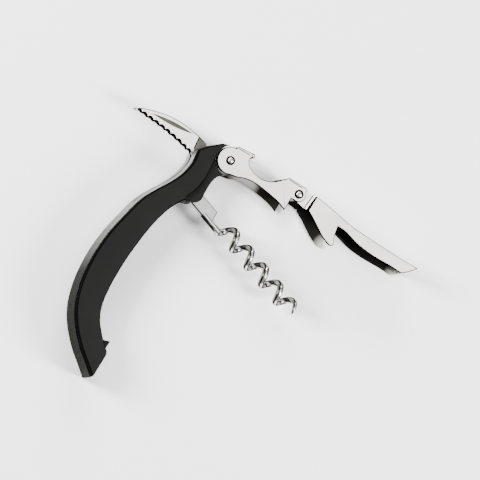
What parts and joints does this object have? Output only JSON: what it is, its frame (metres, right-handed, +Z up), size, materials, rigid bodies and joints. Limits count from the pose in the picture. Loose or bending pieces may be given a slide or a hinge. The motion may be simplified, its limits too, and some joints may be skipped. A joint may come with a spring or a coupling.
{
  "type": "lever corkscrew",
  "caption": "Folding double-hinged lever corkscrew with a curved black handle, steel worm, stepped lever arms with cap lifter, and a short serrated foil knife.",
  "frame": {"origin": "middle of the resting footprint, on the surface the tool lies on", "axes": "+X to the free end of the second lever, +Y to the knife's side, +Z up through the thickness"},
  "size_m": [0.1544, 0.1162, 0.0162],
  "materials": {
    "plastic": "satin black",
    "frame_steel": "brushed",
    "pin_steel": "plain",
    "rivet_steel": "polished dome",
    "lever_steel": "satin nickel",
    "worm_steel": "polished",
    "blade_steel": "polished"
  },
  "bodies": {
    "handle": {"handle_frame": "frame_steel", "scale_front": "plastic", "scale_rear": "plastic", "worm_pin": "pin_steel", "worm_spacer_front": "pin_steel", "worm_spacer_rear": "pin_steel", "knife_pin": "pin_steel", "knife_spacer_front": "pin_steel", "knife_spacer_rear": "pin_steel", "tail_catch": "plastic", "scale_pin_upper": "pin_steel", "scale_pin_middle": "pin_steel", "scale_pin_tail": "pin_steel"},
    "lever_hub": {"main_rivet": "rivet_steel", "lever_washer_front": "rivet_steel", "lever_washer_rear": "rivet_steel"},
    "first_lever": {"lever_first": "lever_steel", "link_rivet": "rivet_steel", "link_bush": "pin_steel"},
    "second_lever": {"lever_second": "lever_steel"},
    "worm_body": {"worm": "worm_steel"},
    "knife": {"knife_blade": "blade_steel"}
  },
  "joints": [
    {"name": "lever_fold", "type": "hinge", "parent": "handle", "child": "lever_hub", "pos_m": [-0.00736, 0.03582, 0.0081], "axis": [0, 0, 1], "range_deg": [-93, 0]},
    {"name": "lever_lift", "type": "hinge", "parent": "lever_hub", "child": "first_lever", "pos_m": [-0.00736, 0.03582, 0.0081], "axis": [0, 0, 1], "range_deg": [0, 25]},
    {"name": "link_pivot", "type": "hinge", "parent": "first_lever", "child": "second_lever", "pos_m": [0.02364, 0.02182, 0.0081], "axis": [0, 0, 1], "range_deg": [0, 50]},
    {"name": "worm_fold", "type": "hinge", "parent": "handle", "child": "worm_body", "pos_m": [-0.02246, 0.02332, 0.0081], "axis": [0, 0, 1], "range_deg": [-78.3, 0]},
    {"name": "knife_pivot", "type": "hinge", "parent": "handle", "child": "knife", "pos_m": [-0.01886, 0.03662, 0.0081], "axis": [0, 0, 1], "range_deg": [-30, 80]}
  ],
  "couplings": [
    {"joint": "worm_fold", "follows": "lever_fold", "ratio": 0.84}
  ]
}
